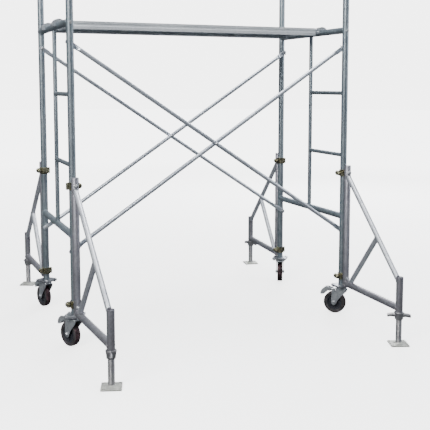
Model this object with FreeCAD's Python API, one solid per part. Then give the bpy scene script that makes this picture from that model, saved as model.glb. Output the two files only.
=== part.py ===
import FreeCAD, Part
import os
from math import atan2, cos, degrees, hypot, radians, sin

os.makedirs("parts", exist_ok=True)

# Mobile tower scaffold: two ladder frames, two pairs of cross braces, a hooked
# catwalk, guardrails, four braked casters and four clamped outriggers with screw feet.
# Millimetres. Origin: middle of the tower on the floor. +X along the bay, +Y away
# from the ladder side, +Z up.

# ---- driving dimensions ----
bay_length = 1829.0          # between standard centres, along X
frame_width = 914.0          # between standard centres, along Y
tube_radius = 21.35          # standards, transoms, bottom rails, outriggers
tube_wall = 2.5
standard_bottom = 200.0
standard_top = 1958.0
bottom_rail_height = 670.0
transom_height = 1910.0
rung_radius = 13.5
rung_wall = 2.0

spigot_radius = 18.6
spigot_half_length = 98.0
spigot_collar = 4.0
spigot_bolt_height = 1905.0
spigot_bolt_radius = 5.0

post_top = 2960.0
guard_heights = (2440.0, 2920.0)
guard_radius = 16.85
guard_wall = 2.3
side_guard_drop = 55.0       # side rails clip on this far under the end rails
claw_radius = 27.0
claw_height = 44.0

brace_radius = 12.7
brace_wall = 1.8
brace_low = 575.0
brace_high = 1794.0
brace_tab_length = 46.0      # pin centre to the start of the round tube
brace_tab_tip = 22.0         # flat beyond the pin centre
brace_tab_width = 30.0
brace_tab_thickness = 4.0
brace_offset = 19.0          # standard axis to the axis of the first brace, along Y
brace_spacing = 26.0         # between the axes of the crossing braces
stud_radius = 6.0
stud_reach = 50.0

deck_top = 1940.0
deck_centre_y = 40.0
deck_width = 420.0
deck_length = 1704.0
deck_sheet = 2.0
deck_rail_height = 48.0
deck_rail_width = 26.0
hook_spacing = 344.0
hook_width = 50.0
hook_radius = 41.0

plate_size = 106.0           # caster mounting plates
plate_thickness = 6.0
stem_length = 140.0
mount_bolt_head = 4.5
wheel_radius = 75.0
tyre_width = 40.0
core_radius = 52.0
caster_trail = 45.0
axle_radius = 5.0
running_gap = 0.05           # radial gap of every turning fit
fork_inner = 24.0            # half the gap between the fork legs
fork_sheet = 4.0
fork_foot = 18.0             # radius of the fork legs round the axle

outrigger_reach = 690.0      # standard axis to the screw foot's axis
outrigger_post_offset = 57.0  # standard axis to the outrigger's own post
outrigger_post_bottom = 207.0
outrigger_post_top = 1020.0
arm_height = 222.0
sleeve_bottom = 200.0
sleeve_top = 412.0
strut_radius = 15.9
strut_wall = 2.0
diagonal_top = 955.0
diagonal_foot = 375.0
strut_share = 0.6            # where the strut meets the diagonal, from its top
clamp_heights = (262.0, 965.0)
clamp_gap = 0.3
clamp_radius = 27.0
clamp_height = 44.0
clamp_bolt_y = 38.0          # closing bolt, from the standard axis
clamp_hinge_y = -31.0
clamp_lug = 16.0              # radius of the round lugs at the closing bolt
clamp_half = 19.0             # half height of the pad and of the hinge
clamp_bolt_radius = 6.0
pivot_heights = (258.0, 972.0)  # bolts between the clamps and the outrigger post
pivot_washer = 13.0

jack_radius = 18.4
jack_wall = 4.5
jack_top = 395.0
foot_size = 110.0
foot_thickness = 8.0
nut_bottom = 155.0
nut_radius = 29.5
nut_span = 140.0
nut_wing = [(14, 4), (48, 6), (0, 12), (0, 34), (48, 31), (14, 34)]  # out and down; 0 is the end

# ---- how each corner stands at rest, in degrees ----
# heading: where the outrigger's arm points; trail: where the caster's axle lies from
# its stem; plate: turn of the caster's mounting plate; nut and foot: turn of each.
# clamps: the side of the closing bolt of the lower and the upper clamp, seen along
# the arm (1 is left of it, -1 right).
corners = {
    "left_front": {"x": -1, "y": -1, "heading": -87.0, "trail": 116.0, "plate": 62.0,
                   "nut": -18.0, "foot": -21.0, "clamps": (-1, 1)},
    "right_front": {"x": 1, "y": -1, "heading": -92.0, "trail": 132.0, "plate": 4.0,
                    "nut": 58.0, "foot": -18.0, "clamps": (-1, -1)},
    "left_rear": {"x": -1, "y": 1, "heading": 91.5, "trail": 107.0, "plate": 36.0,
                  "nut": 13.0, "foot": -28.0, "clamps": (1, 1)},
    "right_rear": {"x": 1, "y": 1, "heading": 84.5, "trail": 62.0, "plate": 52.0,
                   "nut": 27.0, "foot": -4.0, "clamps": (1, 1)},
}

half_bay = bay_length / 2
half_width = frame_width / 2
bore_radius = tube_radius - tube_wall
up = FreeCAD.Vector(0, 0, 1)


def vec(x, y, z):
    return FreeCAD.Vector(x, y, z)


def save(name, solids):
    """Writes one node. Several separate solids make one compound."""
    solids = solids if isinstance(solids, list) else [solids]
    shape = solids[0] if len(solids) == 1 else Part.makeCompound(solids)
    shape.exportStep("parts/" + name + ".step")


def rod(start, end, radius):
    run = end - start
    return Part.makeCylinder(radius, run.Length, start, run)


def tube(start, end, radius, wall):
    return rod(start, end, radius).cut(rod(start, end, radius - wall))


def block(x0, x1, y0, y1, z0, z1):
    return Part.makeBox(x1 - x0, y1 - y0, z1 - z0, vec(x0, y0, z0))


def plate_from(points, y0, y1):
    """A flat piece with its outline in the XZ plane, between y0 and y1."""
    outline = [vec(x, y0, z) for x, z in points]
    face = Part.Face(Part.makePolygon(outline + outline[:1]))
    return face.extrude(vec(0, y1 - y0, 0))


def hexagon(centre, across, height, direction):
    """A hexagonal head or nut whose flats are across apart."""
    points = [vec(across / 3 ** 0.5 * cos(radians(a)), across / 3 ** 0.5 * sin(radians(a)), 0)
              for a in range(0, 360, 60)]
    head = Part.Face(Part.makePolygon(points + points[:1])).extrude(vec(0, 0, height))
    head.Placement = FreeCAD.Placement(centre, FreeCAD.Rotation(up, direction))
    return head


def place(shape, angle, x, y):
    """Turns a shape about the Z axis through the origin, then moves it to x, y."""
    moved = shape.copy()
    moved.rotate(vec(0, 0, 0), up, angle)
    moved.translate(vec(x, y, 0))
    return moved


def corner_xy(corner):
    return corner["x"] * half_bay, corner["y"] * half_width


# ---- ladder frames ----
def standard_rod(corner, z0, z1, radius):
    x, y = corner_xy(corner)
    return rod(vec(x, y, z0), vec(x, y, z1), radius)


def spigot_bolt_hole(corner):
    x, y = corner_xy(corner)
    start = vec(x, y - 40, spigot_bolt_height)
    return rod(start, start + vec(0, 80, 0), spigot_bolt_radius + 0.2)


def make_standard(corner):
    x, y = corner_xy(corner)
    body = tube(vec(x, y, standard_bottom), vec(x, y, standard_top), tube_radius, tube_wall)
    return body.cut(spigot_bolt_hole(corner))


def cross_tube(side, height, radius, wall, y0=-half_width, y1=half_width):
    """A tube along Y in an end frame, coped to the tubes at its ends."""
    x = side * half_bay
    piece = tube(vec(x, y0, height), vec(x, y1, height), radius, wall)
    for end in (y0, y1):
        width = tube_radius if abs(end) == half_width else rung_radius
        piece = piece.cut(rod(vec(x, end, height - 60), vec(x, end, height + 60), width))
    return piece


def make_ladder_upright(side):
    x = side * half_bay
    piece = tube(vec(x, 0, bottom_rail_height), vec(x, 0, transom_height), rung_radius, rung_wall)
    for height in (bottom_rail_height, transom_height):
        piece = piece.cut(rod(vec(x, -60, height), vec(x, 60, height), tube_radius))
    return piece


def rung_heights():
    step = (transom_height - bottom_rail_height) / 3
    return [bottom_rail_height + step, bottom_rail_height + 2 * step]


def make_spigot(corner):
    x, y = corner_xy(corner)
    middle = standard_top + spigot_collar / 2
    body = tube(vec(x, y, middle - spigot_half_length), vec(x, y, middle + spigot_half_length),
                spigot_radius, tube_wall)
    collar = tube(vec(x, y, standard_top), vec(x, y, standard_top + spigot_collar),
                  tube_radius + 1, tube_radius + 1 - spigot_radius + 0.5)
    return body.fuse(collar).cut(spigot_bolt_hole(corner))


def make_spigot_bolt(corner):
    x, y = corner_xy(corner)
    head = vec(x, y - tube_radius - 0.2, spigot_bolt_height)
    nut = vec(x, y + tube_radius + 0.2, spigot_bolt_height)
    shank = rod(head, nut + vec(0, 12, 0), spigot_bolt_radius)
    return shank.fuse(hexagon(head, 17, 6.4, vec(0, -1, 0))).fuse(hexagon(nut, 17, 8, vec(0, 1, 0)))


# ---- cross braces ----
brace_angle = degrees(atan2(brace_high - brace_low, bay_length))
brace_length = hypot(bay_length, brace_high - brace_low)


def tab_offset(inner):
    """Y of the flat's middle from the standard's axis; inner braces lie further in."""
    axis = brace_offset + (brace_spacing if inner else 0)
    lift = brace_radius - brace_tab_thickness / 2
    return axis - lift if inner else axis + lift


def make_brace(front, rising):
    """One brace: a round tube with a flattened, drilled end at each pin."""
    inner = rising
    axis = brace_offset + (brace_spacing if inner else 0)
    tube_end = brace_length / 2 - brace_tab_length
    piece = tube(vec(-tube_end, axis, 0), vec(tube_end, axis, 0), brace_radius, brace_wall)
    flat = tab_offset(inner)
    for end in (-1, 1):
        pin = end * brace_length / 2
        tip = pin + end * (brace_tab_tip - brace_tab_width / 2)
        y0 = flat - brace_tab_thickness / 2
        tab = block(min(tip, end * (tube_end - 12)), max(tip, end * (tube_end - 12)),
                    y0, y0 + brace_tab_thickness, -brace_tab_width / 2, brace_tab_width / 2)
        round_tip = rod(vec(tip, y0, 0), vec(tip, y0 + brace_tab_thickness, 0), brace_tab_width / 2)
        eye = rod(vec(pin, y0 - 5, 0), vec(pin, y0 + 15, 0), stud_radius + 0.3)
        piece = piece.fuse(tab).fuse(round_tip).cut(eye)
    piece = piece.cut(rod(vec(0, 0, 0), vec(0, 60, 0), 5.2)).removeSplitter()
    piece.rotate(vec(0, 0, 0), vec(0, 1, 0), -brace_angle if rising else brace_angle)
    piece.translate(vec(0, -half_width, (brace_low + brace_high) / 2))
    return piece if front else piece.mirror(vec(0, 0, 0), vec(0, 1, 0))


def make_brace_rivet(front):
    start = brace_offset - brace_radius - 4
    end = brace_offset + brace_spacing + brace_radius + 4
    middle = (brace_low + brace_high) / 2
    y = -half_width
    piece = rod(vec(0, y + start, middle), vec(0, y + end, middle), 5)
    piece = piece.fuse(rod(vec(0, y + start, middle), vec(0, y + start + 3.8, middle), 9))
    piece = piece.fuse(rod(vec(0, y + end - 3.8, middle), vec(0, y + end, middle), 9))
    return piece if front else piece.mirror(vec(0, 0, 0), vec(0, 1, 0))


def stud_is_inner(corner, height):
    """The rising brace is pinned low on the left and high on the right."""
    return (corner["x"] < 0) == (height == brace_low)


def make_brace_stud(corner, height):
    """A welded stud whose shoulder carries the brace's flat end."""
    x, y = corner_xy(corner)
    inward = -corner["y"]
    shoulder = tab_offset(stud_is_inner(corner, height)) - brace_tab_thickness / 2 - 0.3
    axis = vec(x, y, height)
    piece = rod(axis + vec(0, inward * 12, 0), axis + vec(0, inward * stud_reach, 0), stud_radius)
    piece = piece.fuse(rod(axis + vec(0, inward * 12, 0), axis + vec(0, inward * shoulder, 0), 10.5))
    return piece.cut(standard_rod(corner, height - 40, height + 40, tube_radius))


def make_brace_nut(corner, height):
    """A wing nut that holds the brace's end on its stud."""
    x, y = corner_xy(corner)
    inward = -corner["y"]
    face = tab_offset(stud_is_inner(corner, height)) + brace_tab_thickness / 2 + 0.3
    seat = vec(x, y + inward * face, height)
    hub = rod(seat, seat + vec(0, inward * 9, 0), 10)
    for side in (-1, 1):
        y0, y1 = sorted((seat.y + inward * 2, seat.y + inward * 15))
        x0, x1 = sorted((x + side * 6, x + side * 21))
        hub = hub.fuse(block(x0, x1, y0, y1, height - 2, height + 2))
    return hub.cut(rod(seat, seat + vec(0, inward * 20, 0), stud_radius + 0.1))


# ---- guardrails ----
def make_guard_post(corner):
    x, y = corner_xy(corner)
    foot = standard_top + spigot_collar
    body = tube(vec(x, y, foot), vec(x, y, post_top - 4), tube_radius, tube_wall)
    cap = rod(vec(x, y, post_top - 4), vec(x, y, post_top), tube_radius)
    return body.fuse(cap)


def make_side_guard(side, height):
    """A rail along X with an open claw round the post at each end."""
    y = side * half_width
    z = height - side_guard_drop
    reach = half_bay - tube_radius - 2
    rail = tube(vec(-reach, y, z), vec(reach, y, z), guard_radius, guard_wall)
    for end in (-1, 1):
        x = end * half_bay
        low = vec(x, y, z - claw_height / 2)
        high = vec(x, y, z + claw_height / 2)
        claw = tube(low, high, claw_radius, claw_radius - tube_radius - clamp_gap)
        x0, x1 = sorted((x + end * 8, x + end * 40))
        claw = claw.cut(block(x0, x1, y - 15, y + 15, z - 40, z + 40))
        rail = rail.cut(rod(low, high, claw_radius - 1)).fuse(claw)
    return rail


# ---- catwalk ----
deck_y0 = deck_centre_y - deck_width / 2
deck_y1 = deck_centre_y + deck_width / 2
sheet_bottom = deck_top - deck_sheet


def make_deck_rail(side):
    """A folded side channel, open towards the middle of the catwalk."""
    y = deck_centre_y + side * deck_width / 2
    y0, y1 = sorted((y, y - side * deck_rail_width))
    low = sheet_bottom - deck_rail_height
    outer = block(-deck_length / 2, deck_length / 2, y0, y1, low, sheet_bottom)
    i0, i1 = sorted((y - side * 2.5, y - side * (deck_rail_width + 5)))
    hollow = block(-deck_length, deck_length, i0, i1, low + 2.5, sheet_bottom - 2.5)
    return outer.cut(hollow)


def make_cross_bar(x):
    """A square tube under the sheet, between the side channels."""
    reach = deck_width / 2 - deck_rail_width
    y0, y1 = deck_centre_y - reach, deck_centre_y + reach
    outer = block(x - 16, x + 16, y0, y1, sheet_bottom - 34, sheet_bottom)
    return outer.cut(block(x - 14, x + 14, y0 - 5, y1 + 5, sheet_bottom - 32, sheet_bottom - 2))


def make_hook(end, side):
    """A thick hook over the transom, on an arm from the catwalk's end bar."""
    y = deck_centre_y + side * hook_spacing / 2
    y0, y1 = y - hook_width / 2, y + hook_width / 2
    seat = tube_radius + 0.25
    x = half_bay
    dome = rod(vec(x, y0, transom_height), vec(x, y1, transom_height), hook_radius)
    dome = dome.cut(block(x - 60, x + 60, y0 - 5, y1 + 5, transom_height - 60, transom_height - 8))
    arm = block(deck_length / 2 - 8, x - 20, y0, y1, transom_height - 8, transom_height + 20)
    piece = dome.fuse(arm)
    piece = piece.cut(rod(vec(x, y0 - 5, transom_height), vec(x, y1 + 5, transom_height), seat))
    mouth = block(x - seat, x + seat, y0 - 5, y1 + 5, transom_height - 60, transom_height)
    piece = piece.cut(mouth).cut(block(0, deck_length / 2, y0 - 5, y1 + 5, sheet_bottom - 3, deck_top + 30))
    piece = piece.cut(block(0, deck_length / 2, y0 - 5, y1 + 5, 0, sheet_bottom - 3)).removeSplitter()
    return piece if end > 0 else piece.mirror(vec(0, 0, 0), vec(1, 0, 0))


# ---- casters, built at the origin with the axle towards +X ----
plate_bottom = standard_bottom - plate_thickness * 2
race_bottom = plate_bottom - 10
fork_top = race_bottom - 2
crown_bottom = fork_top - 8
pivot_x = 32.0
pivot_z = 159.0
pivot_radius = 4.0
pedal_inner = 87.0
pedal_sheet = 3.0
shoe_inner = 81.0


def make_stem(corner):
    """The fixed top of a caster: a stem for the standard, two bolted plates and a ball race."""
    half = plate_size / 2
    low_plate = block(-half, half, -half, half, plate_bottom, plate_bottom + plate_thickness)
    top_plate = block(-half, half, -half, half, plate_bottom + plate_thickness, standard_bottom)
    stem = rod(vec(0, 0, standard_bottom), vec(0, 0, standard_bottom + stem_length), bore_radius - 0.4)
    piece = low_plate.fuse(top_plate).fuse(stem)
    piece = piece.fuse(Part.makeCone(32, 38, 10, vec(0, 0, race_bottom), up))
    for sx in (-1, 1):
        for sy in (-1, 1):
            spot = vec(sx * (half - 14), sy * (half - 14), standard_bottom)
            piece = piece.fuse(hexagon(spot, 13, mount_bolt_head, up))
            piece = piece.fuse(hexagon(spot - vec(0, 0, 2 * plate_thickness), 13, 6.5, -up))
    king_bore = rod(vec(0, 0, race_bottom - 1), vec(0, 0, standard_bottom + 10), 6 + running_gap)
    piece = piece.cut(king_bore).removeSplitter()
    return place(piece, corner["plate"], *corner_xy(corner))


def make_fork(corner):
    """The swivelling fork with its king pin, and the axle and brake pin through its legs."""
    fork_half = fork_inner + fork_sheet
    crown = block(-36, 50, -fork_half, fork_half, crown_bottom, crown_bottom + fork_sheet)
    crown = crown.fuse(rod(vec(0, 0, crown_bottom), vec(0, 0, fork_top), 34))
    crown = crown.fuse(rod(vec(0, 0, fork_top), vec(0, 0, standard_bottom + 6), 6))
    for side in (-1, 1):
        y0, y1 = sorted((side * fork_inner, side * (fork_inner + fork_sheet)))
        leg = plate_from([(-36, crown_bottom + 4), (50, crown_bottom + 4), (60, 160), (63, wheel_radius),
                          (caster_trail - fork_foot, wheel_radius), (-34, 152)], y0, y1)
        eye = vec(caster_trail, y0, wheel_radius), vec(caster_trail, y1, wheel_radius)
        leg = leg.fuse(rod(*eye, fork_foot))
        crown = crown.fuse(leg)
    axle_centre = vec(caster_trail, 0, wheel_radius)
    pivot_centre = vec(pivot_x, 0, pivot_z)
    side_way = vec(0, fork_half + 2, 0)
    crown = crown.cut(rod(axle_centre - side_way, axle_centre + side_way, axle_radius + 0.1))
    crown = crown.cut(rod(pivot_centre - side_way, pivot_centre + side_way, pivot_radius + 0.1))
    head_face = vec(0, fork_half + 0.2, 0)
    axle = rod(axle_centre - head_face, axle_centre + head_face, axle_radius)
    axle = axle.fuse(hexagon(axle_centre + head_face, 17, 6.5, vec(0, 1, 0)))
    axle = axle.fuse(hexagon(axle_centre - head_face, 17, 8, vec(0, -1, 0)))
    pin = rod(pivot_centre - head_face, pivot_centre + head_face, pivot_radius)
    for way in (-1, 1):
        pin = pin.fuse(rod(pivot_centre + head_face * way, pivot_centre + head_face * way * 1.08, 7))
    return [place(s, corner["trail"], *corner_xy(corner)) for s in (crown.removeSplitter(), axle, pin)]


def turned(points):
    """A solid of revolution about the wheel's own axis, from points (radius, width)."""
    outline = [vec(caster_trail + r, w, wheel_radius) for r, w in points]
    face = Part.Face(Part.makePolygon(outline + outline[:1]))
    return face.revolve(vec(caster_trail, 0, wheel_radius), vec(0, 1, 0), 360)


def make_wheel_core(corner):
    bore = axle_radius + running_gap
    profile = [(bore, -22), (18, -22), (18, -10), (44, -8), (44, -17), (core_radius, -17),
               (core_radius, 17), (44, 17), (44, 8), (18, 10), (18, 22), (bore, 22)]
    return place(turned(profile), corner["trail"], *corner_xy(corner))


def make_wheel_tyre(corner):
    half = tyre_width / 2
    inside = core_radius + 0.1
    profile = [(inside, -17), (58, -half), (70, -half), (wheel_radius - 1.2, -13), (wheel_radius, -8),
               (wheel_radius, 8), (wheel_radius - 1.2, 13), (70, half), (58, half), (inside, 17)]
    return place(turned(profile), corner["trail"], *corner_xy(corner))


def ring_sector(inner, outer, start, end, half):
    """Part of a ring about the wheel's axis, from start to end degrees above the axle."""
    axis = vec(0, 1, 0)
    centre = vec(caster_trail, -half, wheel_radius)

    def at(radius, angle):
        return centre + vec(radius * cos(radians(angle)), 0, radius * sin(radians(angle)))

    middle = (start + end) / 2
    edges = [Part.Arc(at(outer, start), at(outer, middle), at(outer, end)).toShape(),
             Part.makeLine(at(outer, end), at(inner, end)),
             Part.Arc(at(inner, end), at(inner, middle), at(inner, start)).toShape(),
             Part.makeLine(at(inner, start), at(outer, start))]
    return Part.Face(Part.Wire(edges)).extrude(axis * (2 * half))


def crest_outline():
    """The raised edges of the pedal, from points (degrees above the axle, radius)."""
    points = [(84, 88), (84, 91), (75, 100), (67, 112), (57, 120), (45, 121), (34, 117), (27, 110),
              (29, 104), (35, 96), (42, 89)]
    points += [(angle, pedal_inner + 0.5) for angle in range(48, 84, 6)]
    return [(caster_trail + radius * cos(radians(angle)), wheel_radius + radius * sin(radians(angle)))
            for angle, radius in points]


def make_pedal(corner):
    """The brake pedal: a curved sheet over the tyre, with a knuckle, a shoe and a foot lip."""
    half = 20.0
    sheet = ring_sector(pedal_inner, pedal_inner + pedal_sheet, 40, 99, half)
    knuckle = rod(vec(pivot_x, -half, pivot_z), vec(pivot_x, half, pivot_z), 7)
    shoe = ring_sector(shoe_inner, pedal_inner + 1, 62, 76, 14)
    edge_x = caster_trail + (pedal_inner + 0.5) * cos(radians(41))
    edge_z = wheel_radius + (pedal_inner + 0.5) * sin(radians(41))
    lip = plate_from([(edge_x, edge_z), (edge_x + 27, edge_z - 9), (edge_x + 28, edge_z - 6),
                      (edge_x + 1.6, edge_z + 2.6)], -half - 4, half + 4)
    piece = sheet.fuse(knuckle).fuse(shoe).fuse(lip)
    for y0, y1 in ((-half, 3 - half), (half - 3, half)):
        piece = piece.fuse(plate_from(crest_outline(), y0, y1))
    pin_ends = vec(pivot_x, -half - 2, pivot_z), vec(pivot_x, half + 2, pivot_z)
    pin_way = rod(*pin_ends, pivot_radius + running_gap)
    return place(piece.cut(pin_way).removeSplitter(), corner["trail"], *corner_xy(corner))


# ---- outriggers, built at the origin with the arm towards +X ----
def make_outrigger(corner):
    """The welded outrigger: a post beside the standard, an arm, a diagonal, a strut and a sleeve."""
    post_x = outrigger_post_offset
    post_low = vec(post_x, 0, outrigger_post_bottom)
    post_high = vec(post_x, 0, outrigger_post_top)
    sleeve_low = vec(outrigger_reach, 0, sleeve_bottom)
    sleeve_high = vec(outrigger_reach, 0, sleeve_top)
    beyond = vec(0, 0, tube_radius)
    post_space = rod(post_low - beyond, post_high, tube_radius)
    sleeve_space = rod(sleeve_low - beyond, sleeve_high + beyond, tube_radius)
    arm_ends = vec(post_x, 0, arm_height), vec(outrigger_reach, 0, arm_height)
    arm = tube(*arm_ends, tube_radius, tube_wall).cut(post_space).cut(sleeve_space)
    top = vec(post_x, 0, diagonal_top)
    foot = vec(outrigger_reach, 0, diagonal_foot)
    meet = top + (foot - top) * strut_share
    diagonal = tube(top, foot, strut_radius, strut_wall).cut(post_space).cut(sleeve_space)
    strut_foot = vec(post_x + 56, 0, arm_height + 8)
    strut = tube(strut_foot, meet, strut_radius, strut_wall)
    strut = strut.cut(rod(*arm_ends, tube_radius)).cut(rod(top, foot, strut_radius)).cut(post_space)
    post = tube(post_low, post_high, tube_radius, tube_wall)
    for z in pivot_heights:
        hole = vec(post_x, 0, z)
        post = post.cut(rod(hole - vec(30, 0, 0), hole + vec(30, 0, 0), clamp_bolt_radius + 0.2))
    sleeve = tube(sleeve_low, sleeve_high, tube_radius, tube_wall)
    pieces = [post, arm, largest(diagonal), largest(strut), sleeve]
    return [place(s, corner["heading"], *corner_xy(corner)) for s in pieces]


def largest(shape):
    return max(shape.Solids, key=lambda s: s.Volume)


def make_clamps(corner):
    """Two half couplers round the standard, each with its closing bolt and its pivot bolt."""
    pieces = []
    pad_end = outrigger_post_offset - tube_radius - 0.3
    head_x = outrigger_post_offset + tube_radius + 0.3
    for z, pivot_z, way in zip(clamp_heights, pivot_heights, corner["clamps"]):
        low, high = vec(0, 0, z - clamp_height / 2), vec(0, 0, z + clamp_height / 2)
        band = rod(low, high, clamp_radius)
        z0, z1 = z - clamp_half, z + clamp_half
        band = band.fuse(block(10, pad_end, -clamp_half, clamp_half, z0, z1))
        band = band.fuse(rod(vec(0, clamp_hinge_y, z0), vec(0, clamp_hinge_y, z1), 9))
        band = band.fuse(block(-9, 9, clamp_hinge_y, -20, z0, z1))
        for x0, x1 in ((-4, 12), (-15, -7)):
            ends = vec(x0, clamp_bolt_y, z), vec(x1, clamp_bolt_y, z)
            band = band.fuse(rod(*ends, clamp_lug))
            band = band.fuse(block(x0, x1, 20, clamp_bolt_y, z - clamp_lug, z + clamp_lug))
        band = band.cut(rod(low, high, tube_radius + clamp_gap))
        bolt_x = [vec(x, clamp_bolt_y, z) for x in (-33, -20, -15.2, 12.2, 19, 20)]
        band = band.cut(rod(bolt_x[1], bolt_x[5], clamp_bolt_radius + 0.2))
        closing = rod(bolt_x[0], bolt_x[3], clamp_bolt_radius)
        closing = closing.fuse(hexagon(bolt_x[2], 19, 11, vec(-1, 0, 0)))
        closing = closing.fuse(rod(bolt_x[3], bolt_x[4], 10))
        head = vec(head_x, 0, pivot_z)
        pivot = rod(vec(tube_radius + 6, 0, pivot_z), head + vec(12, 0, 0), clamp_bolt_radius)
        pivot = pivot.fuse(rod(head, head + vec(3, 0, 0), pivot_washer))
        pivot = pivot.fuse(hexagon(head + vec(3, 0, 0), 19, 8, vec(1, 0, 0)))
        bore = rod(vec(tube_radius, 0, pivot_z), vec(pad_end + 5, 0, pivot_z), clamp_bolt_radius + 0.2)
        band = band.cut(bore).removeSplitter()
        if way < 0:
            band, closing, pivot = [p.mirror(vec(0, 0, 0), vec(0, 1, 0)) for p in (band, closing, pivot)]
        pieces += [band, closing, pivot]
    return [place(s, corner["heading"], *corner_xy(corner)) for s in pieces]


def make_jack_leg(corner):
    """The screw foot: a threaded leg on a square base plate."""
    half = foot_size / 2
    foot = block(-half, half, -half, half, 0, foot_thickness)
    foot = foot.fuse(Part.makeCone(28, jack_radius, 8, vec(0, 0, foot_thickness), up))
    foot = foot.fuse(tube(vec(0, 0, 2), vec(0, 0, jack_top), jack_radius, jack_wall)).removeSplitter()
    foot = place(foot, corner["foot"], outrigger_reach, 0)
    return place(foot, corner["heading"], *corner_xy(corner))


def make_wing_nut(corner):
    """The nut under the sleeve: a tapered hub with two drooping wings."""
    top = sleeve_bottom - 0.4
    height = top - nut_bottom
    hub = Part.makeCone(nut_radius - 5, nut_radius, height, vec(0, 0, nut_bottom), up)
    for side in (-1, 1):
        outline = [(side * (out or nut_span / 2), top - drop) for out, drop in nut_wing]
        hub = hub.fuse(plate_from(outline, -8, 8))
    hub = hub.cut(rod(vec(0, 0, nut_bottom - 5), vec(0, 0, top + 5), jack_radius + 0.3))
    hub = place(hub.removeSplitter(), corner["nut"], outrigger_reach, 0)
    return place(hub, corner["heading"], *corner_xy(corner))


# ---- every node ----
sides = {"left": -1, "right": 1}
for name, side in sides.items():
    save("transom_" + name, cross_tube(side, transom_height, tube_radius, tube_wall))
    save("bottom_rail_" + name, cross_tube(side, bottom_rail_height, tube_radius, tube_wall))
    save("ladder_upright_" + name, make_ladder_upright(side))
save("ladder_rungs", [cross_tube(side, z, rung_radius, rung_wall, y1=0.0)
                      for side in sides.values() for z in rung_heights()])

for pair, front in {"front": True, "rear": False}.items():
    save("brace_" + pair + "_rising", make_brace(front, True))
    save("brace_" + pair + "_falling", make_brace(front, False))
save("brace_rivets", [make_brace_rivet(front) for front in (True, False)])

ends = list(corners.values())
save("spigots", [make_spigot(c) for c in ends])
save("spigot_bolts", [make_spigot_bolt(c) for c in ends])
save("brace_studs", [make_brace_stud(c, z) for c in ends for z in (brace_low, brace_high)])
save("brace_wing_nuts", [make_brace_nut(c, z) for c in ends for z in (brace_low, brace_high)])
save("guard_posts", [make_guard_post(c) for c in ends])
levels = [(side, z) for side in sides.values() for z in guard_heights]
save("end_guard_rails", [cross_tube(side, z, guard_radius, guard_wall) for side, z in levels])
save("side_guard_rails", [make_side_guard(side, z) for side, z in levels])

save("deck_panel", block(-deck_length / 2, deck_length / 2, deck_y0, deck_y1, sheet_bottom, deck_top))
save("deck_side_rails", [make_deck_rail(side) for side in sides.values()])
bar_reach = deck_length / 2 - 16
save("deck_cross_bars", [make_cross_bar(bar_reach * share) for share in (-1, -0.5, 0, 0.5, 1)])
save("deck_hooks", [make_hook(end, side) for end in sides.values() for side in sides.values()])
save("caster_stems", [make_stem(c) for c in ends])

for name, corner in corners.items():
    save("standard_" + name, make_standard(corner))
    save("caster_fork_" + name, make_fork(corner))
    save("wheel_core_" + name, make_wheel_core(corner))
    save("wheel_tyre_" + name, make_wheel_tyre(corner))
    save("brake_pedal_" + name, make_pedal(corner))
    save("outrigger_" + name, make_outrigger(corner))
    save("outrigger_clamps_" + name, make_clamps(corner))
    save("jack_leg_" + name, make_jack_leg(corner))
    save("wing_nut_" + name, make_wing_nut(corner))
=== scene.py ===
import math
import bpy
import bmesh
from mathutils import Matrix, Vector


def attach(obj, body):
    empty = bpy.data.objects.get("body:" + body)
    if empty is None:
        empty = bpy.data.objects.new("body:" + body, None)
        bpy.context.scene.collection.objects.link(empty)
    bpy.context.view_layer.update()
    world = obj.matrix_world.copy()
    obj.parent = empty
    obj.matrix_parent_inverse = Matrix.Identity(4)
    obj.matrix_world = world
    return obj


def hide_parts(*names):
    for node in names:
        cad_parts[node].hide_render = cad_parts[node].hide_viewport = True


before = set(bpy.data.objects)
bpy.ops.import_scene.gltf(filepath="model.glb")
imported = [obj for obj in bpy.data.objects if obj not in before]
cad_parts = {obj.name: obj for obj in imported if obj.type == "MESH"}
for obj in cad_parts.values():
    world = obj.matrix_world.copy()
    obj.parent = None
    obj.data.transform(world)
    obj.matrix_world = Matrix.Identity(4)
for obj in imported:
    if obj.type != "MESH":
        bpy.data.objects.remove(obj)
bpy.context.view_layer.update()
print("frame loaded:", len(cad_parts), "nodes")

# every length below is in millimetres and becomes metres as the mesh is made
mm = 0.001
right, ahead, up = Vector((1, 0, 0)), Vector((0, 1, 0)), Vector((0, 0, 1))

# where each corner stands, and how its outrigger, caster, wing nut and foot are turned;
# clamps is the side of the closing bolt of the lower and the upper clamp
corners = {
    "left_front": {"x": -1, "y": -1, "arm": -87.0, "caster": 116.0, "plate": 62.0,
                   "nut": -18.0, "foot": -21.0, "clamps": (-1, 1)},
    "right_front": {"x": 1, "y": -1, "arm": -92.0, "caster": 132.0, "plate": 4.0,
                    "nut": 58.0, "foot": -18.0, "clamps": (-1, -1)},
    "left_rear": {"x": -1, "y": 1, "arm": 91.5, "caster": 107.0, "plate": 36.0,
                  "nut": 13.0, "foot": -28.0, "clamps": (1, 1)},
    "right_rear": {"x": 1, "y": 1, "arm": 84.5, "caster": 62.0, "plate": 52.0,
                   "nut": 27.0, "foot": -4.0, "clamps": (1, 1)},
}
halfBay, halfWidth = 914.5, 457.0
tubeRadius, tubeWall = 21.35, 2.5


# materials


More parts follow.
